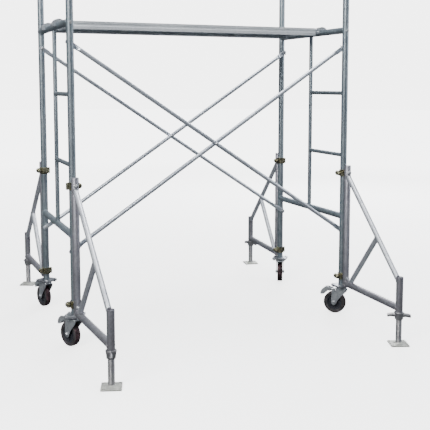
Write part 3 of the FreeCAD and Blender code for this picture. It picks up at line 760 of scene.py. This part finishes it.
def makeDeckRails():
    # folded channels as distance in from the edge and height, with a groove along the middle of the web
    part = deckPiece("deck_side_rails", ["deck_side_rails"], bevel=0.5, sharp=30)
    wide, high = catwalk["railWide"], catwalk["railHigh"]
    outside = [(wide, 0), (0, 0), (0, -11.6), (2.9, -16.4), (2.9, -24.6), (0, -29.4), (0, -high),
               (wide, -high), (wide, 8 - high)]
    inside = [(wide - 2.4, 8 - high), (wide - 2.4, 2.4 - high), (2.4, 2.4 - high), (2.4, -30.4), (5.3, -25.4),
              (5.3, -15.6), (2.4, -10.6), (2.4, -2.4), (wide, -2.4)]
    for sy in (-1, 1):
        edge = catwalk["middle"] + sy * catwalk["wide"] / 2
        rings = [[Vector((x, edge - sy * d, under + h)) for d, h in outside + inside]
                 for x in (-halfLong, halfLong)]
        skin(part["bm"], rings, caps=True)
    close(part)


def makeDeckBars():
    # hat-shaped bars between the channels
    part = deckPiece("deck_cross_bars", ["deck_cross_bars"], bevel=1.2)
    hat = [(-16, -34), (16, -34), (16, 0), (13.8, 0), (13.8, -31.8), (-13.8, -31.8), (-13.8, 0), (-16, 0)]
    reach = catwalk["wide"] / 2 - catwalk["railWide"]
    for share in catwalk["bars"]:
        x = share * (halfLong - 16)
        skin(part["bm"], [[Vector((x + dx, y, under + dz)) for dx, dz in hat]
                          for y in (catwalk["middle"] - reach, catwalk["middle"] + reach)], caps=True)
    close(part)


def makeDeckHooks():
    # thick hooks over the transoms, two at each end
    part = piece("deck_hooks", "tower", "hookGalvanised", "deck_steel", ["deck_hooks"], bevel=1.6, sharp=32)
    rivets = zincPiece("deck_hook_rivets")
    dome, drop, seat = catwalk["hookRadius"], -catwalk["hookDrop"], tubeRadius + 0.4
    outline = arc(0, 0, dome, math.degrees(math.asin(drop / dome)), 150, 22)
    outline += [(-dome * 0.62, dome * 0.74), (-62.4, 20), (-62.4, drop), (-seat, drop)]
    outline += arc(0, 0, seat, 180, 0, 22) + [(seat, drop)]
    half = catwalk["hookWide"] / 2
    for sx in (-1, 1):
        for sy in (-1, 1):
            y = catwalk["middle"] + sy * catwalk["hookGap"] / 2
            spot = Vector((sx * halfBay, y, ladderFrame["transom"]))
            rings = [[spot + Vector((x * sx, dy, z)) for x, z in outline] for dy in (-half, half)]
            skin(part["bm"], rings, caps=True)
            for x in (-50, -33):
                rivet = spot + Vector((sx * x, 0, 5))
                bar(rivets["bm"], rivet - ahead * (half + 2), rivet + ahead * (half + 2), 5.5, 1.5)
    close(part)
    close(rivets)


makeDeckPanel()
makeDeckRails()
makeDeckBars()
makeDeckHooks()
print("catwalk done")


# casters, made with the axle towards +X of a frame on the standard

caster = {"plate": 53.0, "corner": 9.0, "plateLow": 188.0, "bolts": 39.0, "stem": 18.4, "stemTop": 340.0,
          "trail": 45.0, "axleHigh": 75.0, "legIn": 24.0, "legOut": 28.0, "crown": (168.0, 172.2),
          "pivotX": 32.0, "pivotHigh": 159.0,
          "leg": [(-36, 172), (50, 172), (60, 160), (62.4, 90), (62.4, 68), (52, 57.5), (38, 57.5), (28, 67),
                  (23, 84), (0, 116), (-34, 152)]}
# half profiles: the core from its hub's end to the middle of its rim, rubber from the core outwards
wheel = {"core": [(5.2, -22), (12, -22), (14.5, -20), (16, -13), (18, -8), (42, -5.5), (44, -8), (45, -16),
                  (46, -17), (52, -17)],
         "tyre": [(52.1, 17), (55, 18.4), (60, 19.6), (64, 20), (65, 19.2), (66, 19.2), (67, 20), (70, 19.4),
                  (72, 18.2), (72, 8)],
         "tread": [(71.8, 18.3), (73.2, 16.9), (74.4, 14.4), (74.6, 12.2), (73.6, 11.6), (73.6, 10.6),
                   (74.8, 10.0), (75, 4.4), (73.8, 3.8), (73.8, 2.8), (75, 2.2)],
         "ribs": 8}
# the pedal's plate and shoe are arcs about the axle; its side plates are angle and reach from the axle
pedal = {"top": 90.0, "bottom": 87.0, "half": 20.0, "cheek": 3.0, "shoe": 81.0, "shoeHalf": 14.0,
         "cheeks": [(84, 88), (84, 92), (75, 100), (67, 112), (57, 120), (45, 121), (34, 117), (27, 110),
                    (29, 104), (35, 96), (42, 89), (54, 88), (69, 88)]}
axleSpot = Vector((caster["trail"], 0, caster["axleHigh"]))
pivotSpot = Vector((caster["pivotX"], 0, caster["pivotHigh"]))
sideways = Matrix(((1, 0, 0, 0), (0, 0, 1, 0), (0, 1, 0, 0), (0, 0, 0, 1)))    # outline in XZ, depth along Y


def mirrored(half):
    return half + [(r, -w) for r, w in half[::-1]]


def makeStems():
    # what stays still on a caster: the stem in the standard, two bolted plates and the upper ball race
    stems = piece("caster_mounts", "tower", "mountZinc", "zinc_hardware", ["caster_stems"], bevel=1.0)
    bolts = zincPiece("caster_mount_bolts", sharp=30)
    low, top, stem = caster["plateLow"], caster["stemTop"], caster["stem"]
    square = roundBox(caster["plate"], caster["corner"])
    stemShape = [(0, low + 11), (stem, low + 11), (stem, top - 1), (stem - 1, top), (0, top)]
    race = [(0, 178), (32, 178), (35.5, 179.6), (37.6, 182.2), (38, 185.2), (38, low), (0, low)]
    for corner in corners.values():
        at = Matrix.Translation(cornerPoint(corner)) @ Matrix.Rotation(math.radians(corner["plate"]), 4, "Z")
        prism(stems["bm"], square, low, low + 5.7, at)
        prism(stems["bm"], square, low + 6.0, low + 12, at)
        lathe(stems["bm"], stemShape, at, 40)
        lathe(stems["bm"], race, at, 56)
        for sx in (-1, 1):
            for sy in (-1, 1):
                bolt = at @ Vector((sx * caster["bolts"], sy * caster["bolts"], 0))
                hexHead(bolts["bm"], bolt + up * (low + 12), up, 13, 4.4, 20 * sx + 9 * sy)
                hexHead(bolts["bm"], bolt + up * low, -up, 13, 6.0, 11 * sx, 8.5)
    close(stems)
    close(bolts)


def makeFork(name, at):
    body = "caster_" + name
    part = piece("caster_fork_" + name, body, "casterZinc", "zinc_hardware", ["caster_fork_" + name], at, 1.0)
    low, high = caster["crown"]
    race = [(0, low), (30, low), (33.4, 169.4), (34, 171.4), (34, 174.2), (33, 176), (0, 176)]
    lathe(part["bm"], race, steps=56)
    prism(part["bm"], roundBox(43, 8, caster["legOut"]), low, high, Matrix.Translation((7, 0, 0)))
    leg, boss = soften(caster["leg"], share=0.2), [(0, 0), (13.5, 0), (13.5, 1.2), (12, 2.0), (0, 2.0)]
    for side in (-1, 1):
        y0, y1 = sorted((side * caster["legIn"], side * caster["legOut"]))
        prism(part["bm"], leg, y0, y1, sideways)
        face = axleSpot + ahead * side * (caster["legOut"] - 0.8)
        lathe(part["bm"], boss, facing(face, ahead * side), 36)
    close(part)

    part = zincPiece("caster_pins_" + name, body, (), at, sharp=30)
    for side in (-1, 1):
        hexHead(part["bm"], axleSpot + ahead * side * 28.6, ahead * side, 17, 5.0, 13, 10.5)
        lathe(part["bm"], [(0, 0), (7, 0), (7, 1.2), (5, 2.3), (0, 2.6)],
              facing(pivotSpot + ahead * side * 28.2, ahead * side), 28)
    bar(part["bm"], axleSpot - ahead * 29, axleSpot + ahead * 29, 5)
    bar(part["bm"], pivotSpot - ahead * 28, pivotSpot + ahead * 28, 4)
    bar(part["bm"], up * 170, up * 205, 6)
    close(part)


def makeWheel(name, at):
    body = "wheel_" + name
    hub = facing(axleSpot, ahead)
    part = piece("wheel_core_" + name, body, "wheelCoreDark", "wheel_core", ["wheel_core_" + name], at, 0.6)
    lathe(part["bm"], mirrored(wheel["core"]), hub, 64, True)
    for n in range(wheel["ribs"]):
        rib = hub @ Matrix.Rotation(2 * math.pi * n / wheel["ribs"], 4, "Z")
        for low, high in ((-12.5, -4), (4, 12.5)):
            prism(part["bm"], [(13, -2.0), (45.5, -1.5), (45.5, 1.5), (13, 2.0)], low, high, rib)
    close(part)

    for kind, finish, nodes in (("tyre", "tyreRubber", ["wheel_tyre_" + name]), ("tread", "treadRubber", ())):
        part = piece("wheel_" + kind + "_" + name, body, finish, "tyre_rubber", nodes, at, sharp=50)
        lathe(part["bm"], mirrored(wheel[kind]), hub, 80, True)
        close(part)


def makePedal(name, at):
    part = piece("brake_pedal_" + name, "pedal_" + name, "casterZinc", "zinc_hardware",
                 ["brake_pedal_" + name], at, 0.7)
    cx, cz, half = caster["trail"], caster["axleHigh"], pedal["half"]
    tipX = cx + pedal["top"] * math.cos(math.radians(41))
    tipZ = cz + pedal["top"] * math.sin(math.radians(41))
    lip = [(6, 4.6), (14, 8), (25, 8.4), (25.5, 11.2), (13, 11), (4, 7.6)]    # outwards and down from the tip
    lip = [(tipX + out, tipZ - down) for out, down in lip]
    plate = arc(cx, cz, pedal["top"], 99, 42, 18) + lip + arc(cx, cz, pedal["bottom"], 40, 99, 18)
    prism(part["bm"], plate, -half, half, sideways)
    cheeks = [(cx + reach * math.cos(math.radians(a)), cz + reach * math.sin(math.radians(a)))
              for a, reach in pedal["cheeks"]]
    cheeks = soften(cheeks, share=0.2)
    for y0, y1 in ((-half, pedal["cheek"] - half), (half - pedal["cheek"], half)):
        prism(part["bm"], cheeks, y0, y1, sideways)
    box(part["bm"], tipX + 10, tipX + 25.5, -24, 24, tipZ - 11.2, tipZ - 8.2)
    bar(part["bm"], pivotSpot - ahead * half, pivotSpot + ahead * half, 7, steps=28)
    shoe = arc(cx, cz, 88, 76, 62, 6) + arc(cx, cz, pedal["shoe"], 62, 76, 6)
    prism(part["bm"], shoe, -pedal["shoeHalf"], pedal["shoeHalf"], sideways)
    close(part)


makeStems()
for name, corner in corners.items():
    at = turnedAt(corner, corner["caster"])
    makeFork(name, at)
    makeWheel(name, at)
    makePedal(name, at)
print("casters done")


# outriggers, made with the arm towards +X of a frame on the standard

outrigger = {"post": 57.0, "postLow": 207.0, "postHigh": 1020.0, "reach": 690.0, "arm": 222.0,
             "sleeve": (200.0, 412.0), "diagonal": (955.0, 375.0), "strut": 15.9, "strutFoot": 106.0,
             "share": 0.6}    # share: how far down the diagonal the strut meets it
clamp = {"high": (262.0, 965.0), "pivots": (258.0, 972.0), "inner": tubeRadius + 0.3, "outer": 27.0,
         "half": 22.0, "closing": 38.0, "lug": 16.0, "hinge": 31.0, "pin": 4.6}
screwFoot = {"plate": 110.0, "thick": 8.0, "nails": 44.0, "nail": 5.5, "screw": 18.4, "screwLow": 14.0,
             "screwTop": 395.0, "nutLow": 155.0}
# the wing nut's hub as radius and height, and each wing as rings: reach, height, half width, half depth
wingNut = {"bore": 18.7, "hub": [(22.5, 0), (24, 1.5), (25, 10), (26.6, 24), (28.4, 34), (29.5, 38)],
           "wing": [(14, -19, 11, 14), (24, -18.8, 9.4, 13.4), (36, -18.4, 8.6, 12.6), (48, -18.8, 8, 12),
                    (59, -21, 8, 11.6), (66, -22.6, 7.6, 11.2), (68.8, -23, 6, 9.4), (70, -23, 3.4, 6.4)]}
alongX = Matrix(((0, 0, 1, 0), (1, 0, 0, 0), (0, 1, 0, 0), (0, 0, 0, 1)))    # outline in YZ, depth along X
post = Vector((outrigger["post"], 0, 0))
sleeve = Vector((outrigger["reach"], 0, 0))
arm = up * outrigger["arm"]


def makeOutrigger(name, at):
    body, slot = "outrigger_body_" + name, "galvanised_outrigger"
    thin = outrigger["strut"]
    diagonalTop, diagonalFoot = post + up * outrigger["diagonal"][0], sleeve + up * outrigger["diagonal"][1]
    run = (diagonalFoot - diagonalTop).normalized()
    meet = diagonalTop + (diagonalFoot - diagonalTop) * outrigger["share"]
    strutFoot = arm + right * outrigger["strutFoot"]
    rise = (meet - strutFoot).normalized()
    postMain, sleeveMain = (post, up, tubeRadius), (sleeve, up, tubeRadius)
    armMain, diagonalMain = (arm, right, tubeRadius), (meet, run, thin)

    part = piece("outrigger_" + name, body, "outriggerGalvanised", slot, ["outrigger_" + name], at)
    low, high = outrigger["postLow"], outrigger["postHigh"]
    lathe(part["bm"], [(0, low), (tubeRadius - 1.5, low), (tubeRadius, low + 1.5), (tubeRadius, high - 3),
                       (tubeRadius - 1, high - 1), (tubeRadius - 4, high), (0, high)],
          Matrix.Translation(post), 48)
    branch(part["bm"], post + arm, sleeve + arm, tubeRadius, postMain, sleeveMain, tubeWall, 48)
    low, high = outrigger["sleeve"]
    pipe(part["bm"], sleeve + up * low, sleeve + up * high, tubeRadius, tubeWall, 48)
    close(part)

    part = piece("outrigger_diagonal_" + name, body, "diagonalGalvanised", slot, (), at)
    branch(part["bm"], diagonalTop, diagonalFoot, thin, postMain, sleeveMain)
    branch(part["bm"], strutFoot, meet, thin, armMain, diagonalMain)
    close(part)

    part = piece("outrigger_welds_" + name, body, "outriggerGalvanised", slot, (), at, sharp=75)
    for main, spot, way, radius, size in ((postMain, post + arm, right, tubeRadius, 3.0),
                                          (sleeveMain, sleeve + arm, -right, tubeRadius, 3.0),
                                          (postMain, diagonalTop, run, thin, 2.6),
                                          (sleeveMain, diagonalFoot, -run, thin, 2.6),
                                          (armMain, strutFoot, rise, thin, 2.6),
                                          (diagonalMain, meet, -rise, thin, 2.4)):
        weld(part["bm"], *main, spot, way, radius, size)
    close(part)


def clampBand(bm, at):
    # a half coupler: saddle, flap, hinge, rounded lugs and the pad against the outrigger's post
    inner, outer, half = clamp["inner"], clamp["outer"], clamp["half"]
    for start, end in ((-66, 74), (106, 246)):
        prism(bm, arc(0, 0, outer, start, end, 24) + arc(0, 0, inner, end, start, 24), -half, half, at)
    pad = soften([(20, -19), (28, -16), (35.2, -16), (35.2, 16), (28, 16), (20, 19)], 1, 0.12)
    prism(bm, pad, -19, 19, at)
    lug = arc(clamp["closing"], 0, clamp["lug"], -90, 90, 14) + [(22, clamp["lug"]), (22, -clamp["lug"])]
    for x0, x1 in ((-4, 12), (-15, -7)):
        prism(bm, lug, x0, x1, at @ alongX)
    hinge = at @ Matrix.Translation((0, -clamp["hinge"], 0))
    for low, high in ((-19, -7), (-6.4, 6.4), (7, 19)):
        lathe(bm, [(0, low), (9, low), (9, high), (0, high)], hinge, 32)
    for low, high in ((-19, -7), (7, 19)):
        prism(bm, soften([(3, -24), (10, -23), (8, -36), (-2, -36)], 1, 0.15), low, high, at)
    prism(bm, soften([(-11, -22), (-3, -24), (3, -36), (-7, -34)], 1, 0.15), -6.4, 6.4, at)


def makeClamps(name, at, sides):
    # sides: on which side the closing bolt of the lower and the upper clamp lies
    body = "outrigger_body_" + name
    part = piece("outrigger_clamps_" + name, body, "clampYellowZinc", "yellow_zinc",
                 ["outrigger_clamps_" + name], at, 1.5)
    bolts = piece("clamp_bolts_" + name, body, "clampYellowZinc", "yellow_zinc", (), at, sharp=30)
    pivots = zincPiece("pivot_bolts_" + name, body, (), at, sharp=30)
    boltEnd = [(0, 0), (10, 0), (10, 4), (8, 6.4), (0, 7)]
    washer = [(0, 0), (12.2, 0), (13, 0.8), (13, 2.4), (12.2, 3), (0, 3)]
    for z, pivot, way in zip(clamp["high"], clamp["pivots"], sides):
        clampBand(part["bm"], Matrix.Translation((0, 0, z)) @ Matrix.Diagonal((1, way, 1, 1)))
        bolt = Vector((0, way * clamp["closing"], z))
        threadBar(bolts["bm"], bolt - right * 33, bolt + right * 14, 6, 2.0, 0.9, 20, 5)
        hexHead(bolts["bm"], bolt - right * 15.2, -right, 19, 11, 8, 12.5)
        lathe(bolts["bm"], boltEnd, facing(bolt + right * 12.2, right), 28)
        pin = Vector((0, way * -clamp["hinge"], z))
        bar(bolts["bm"], pin - up * 21, pin + up * 21, clamp["pin"])
        head = post + right * (tubeRadius + 0.3) + up * pivot
        lathe(pivots["bm"], washer, facing(head, right), 36)
        hexHead(pivots["bm"], head + right * 3, right, 19, 8, 17)
        bar(pivots["bm"], head + right * 9, head + right * 12, 6)
    for each in (part, bolts, pivots):
        close(each)


def makeScrewFoot(name, at, turn):
    body, slot = "leg_" + name, "galvanised_outrigger"
    part = piece("jack_screw_" + name, body, "jackGalvanised", slot, ["jack_leg_" + name], at, sharp=45)
    threadBar(part["bm"], sleeve + up * screwFoot["screwLow"], sleeve + up * screwFoot["screwTop"],
              screwFoot["screw"])
    close(part)

    part = piece("base_plate_" + name, body, "footGalvanised", slot, (), at, 1.2)
    prism(part["bm"], roundBox(screwFoot["plate"] / 2, 7), 0, screwFoot["thick"], turn)
    seam = [(0, 7.5), (27.6, 7.5), (26, 9.5), (22, 12.5), (19.6, 15.6), (18.6, 16), (0, 16)]
    lathe(part["bm"], seam, turn, 40)
    made = close(part)
    for sx in (-1, 1):
        for sy in (-1, 1):
            nail = Vector((sx * screwFoot["nails"], sy * screwFoot["nails"], screwFoot["thick"] / 2))
            drill(made, at @ (turn @ nail * mm) / mm, up, screwFoot["nail"])


def makeWingNut(name, at, turn):
    part = piece("wing_nut_" + name, "nut_" + name, "jackGalvanised", "zinc_hardware", ["wing_nut_" + name],
                 at, sharp=45)
    low, top, bore = screwFoot["nutLow"], outrigger["sleeve"][0] - 0.4, wingNut["bore"]
    hub, long = wingNut["hub"], top - low
    edge = hub[-1][0]
    lathe(part["bm"], [(bore, 0), *hub, (edge, long - 2), (edge - 1, long), (bore, long)],
          turn @ Matrix.Translation((0, 0, low)), 44, True)
    angles = [2 * math.pi * i / 20 for i in range(20)]
    for half in (0, math.pi):
        way = turn @ Matrix.Rotation(half, 4, "Z")
        rings = [[way @ Vector((x, wide * math.cos(a), top + z + deep * math.sin(a))) for a in angles]
                 for x, z, wide, deep in wingNut["wing"]]
        skin(part["bm"], rings, caps=True)
    close(part)


for name, corner in corners.items():
    at = turnedAt(corner, corner["arm"])
    footTurn, nutTurn = (Matrix.Translation(sleeve) @ Matrix.Rotation(math.radians(corner[key]), 4, "Z")
                         for key in ("foot", "nut"))
    makeOutrigger(name, at)
    makeClamps(name, at, corner["clamps"])
    makeScrewFoot(name, at, footTurn)
    makeWingNut(name, at, nutTurn)
print("outriggers done")


# floor, light and camera

stage = {"radius": 45.0, "glow": 5.0, "floorDrop": 0.0006}
studio = {"steps": ((0.0, 0.20), (0.44, 0.18), (0.54, 0.30), (0.75, 0.62), (1.0, 0.8)),
          "tint": (0.86, 0.93, 1.0), "strength": 0.85}


def paleFloor():
    # pale near the object and whiter further out, so that the horizon doesn't show
    paint = surface("paleFloor")
    cloud = paint.noise(0.8, 3.0)
    far = paint.node("ShaderNodeVectorMath", {"operation": "LENGTH"}, {0: paint.place}, 1)
    glow = paint.curve(far * 0.08 + cloud * 0.01, (0.0, 0.50), (0.18, 0.56), (0.85, 1.0))
    sockets = {"Base Color": paint.blend(cloud, (0.82, 0.82, 0.82), (0.86, 0.86, 0.86)),
               "Roughness": 0.75 + cloud * 0.1, "Emission Color": glow, "Emission Strength": stage["glow"]}
    return paint.output(paint.node("ShaderNodeBsdfPrincipled", None, sockets))


def paleBackdrop():
    paint = surface("paleBackdrop")
    colour = paint.blend(paint.noise(0.05, 1.0), (0.99, 0.99, 0.99), (1.0, 1.0, 1.0))
    return paint.output(paint.node("ShaderNodeEmission", None, {"Color": colour, "Strength": stage["glow"]}))


def stageObject(name, profile, steps, material):
    # turned about the middle of the floor, and seen by the camera alone so that it doesn't light the metal
    bm = bmesh.new()
    lathe(bm, profile, steps=steps)
    bmesh.ops.remove_doubles(bm, verts=bm.verts, dist=1e-6)
    bmesh.ops.recalc_face_normals(bm, faces=bm.faces)
    mesh = bpy.data.meshes.new(name)
    bm.to_mesh(mesh)
    bm.free()
    mesh.shade_smooth()
    mesh.materials.append(material)
    made = bpy.data.objects.new(name, mesh)
    bpy.context.scene.collection.objects.link(made)
    for seen in ("visible_diffuse", "visible_glossy", "visible_transmission", "visible_shadow"):
        setattr(made, seen, False)
    return made


wide = stage["radius"] / mm
rows = [(wide * (n / 10) ** 2, 0) for n in range(11)]    # rows of faces that grow outwards
floor = stageObject("floor", rows, 96, paleFloor())
floor.location.z = -stage["floorDrop"]
quarter = [math.pi / 2 * n / 16 for n in range(16)]
stageObject("backdrop", [(wide * math.cos(a), wide * math.sin(a)) for a in quarter], 64, paleBackdrop())

# a room that is dark below and brighter above
world = bpy.data.worlds.new("studio")
bpy.context.scene.world = world
room = Paint(world, "Generated")
tall = room.height() * 0.5 + 0.5
tint = room.blend(1.0, room.curve(tall, *studio["steps"]), studio["tint"], "MULTIPLY")
air = room.node("ShaderNodeBackground", None, {"Color": tint, "Strength": studio["strength"]})
room.node("ShaderNodeOutputWorld", None, {"Surface": air})

lamps = {
    "key": {"at": (-5.0, -4.4, 4.6), "size": 3.0, "power": 620.0, "colour": (1.0, 0.985, 0.96)},
    "fill": {"at": (5.8, -2.6, 2.6), "size": 2.4, "power": 150.0, "colour": (0.93, 0.96, 1.0)},
    "top": {"at": (0.4, 0.4, 6.8), "size": 4.5, "power": 420.0, "colour": (1.0, 1.0, 1.0)},
    "back": {"at": (4.2, 5.4, 3.6), "size": 2.6, "power": 360.0, "colour": (0.97, 0.98, 1.0)},
}
for name, lamp in lamps.items():
    light = bpy.data.lights.new(name, "AREA")
    light.size, light.energy, light.color = lamp["size"], lamp["power"], lamp["colour"]
    holder = bpy.data.objects.new(name, light)
    bpy.context.scene.collection.objects.link(holder)
    holder.location = lamp["at"]
    holder.rotation_euler = (Vector((0, 0, 1.1)) - Vector(lamp["at"])).to_track_quat("-Z", "Y").to_euler()

eye = {"at": (-1.871, -4.944, 1.551), "turn": 22.45, "tilt": -5.74, "lens": 65.4, "shift": -0.12}
lens = bpy.data.cameras.new("eye")
lens.lens, lens.sensor_width, lens.sensor_fit = eye["lens"], 36.0, "HORIZONTAL"
lens.shift_y = eye["shift"]
lens.clip_start, lens.clip_end = 0.05, 200.0
camera = bpy.data.objects.new("eye", lens)
bpy.context.scene.collection.objects.link(camera)
camera.location = eye["at"]
camera.rotation_euler = (math.radians(90 + eye["tilt"]), 0, math.radians(-eye["turn"]))
bpy.context.scene.camera = camera
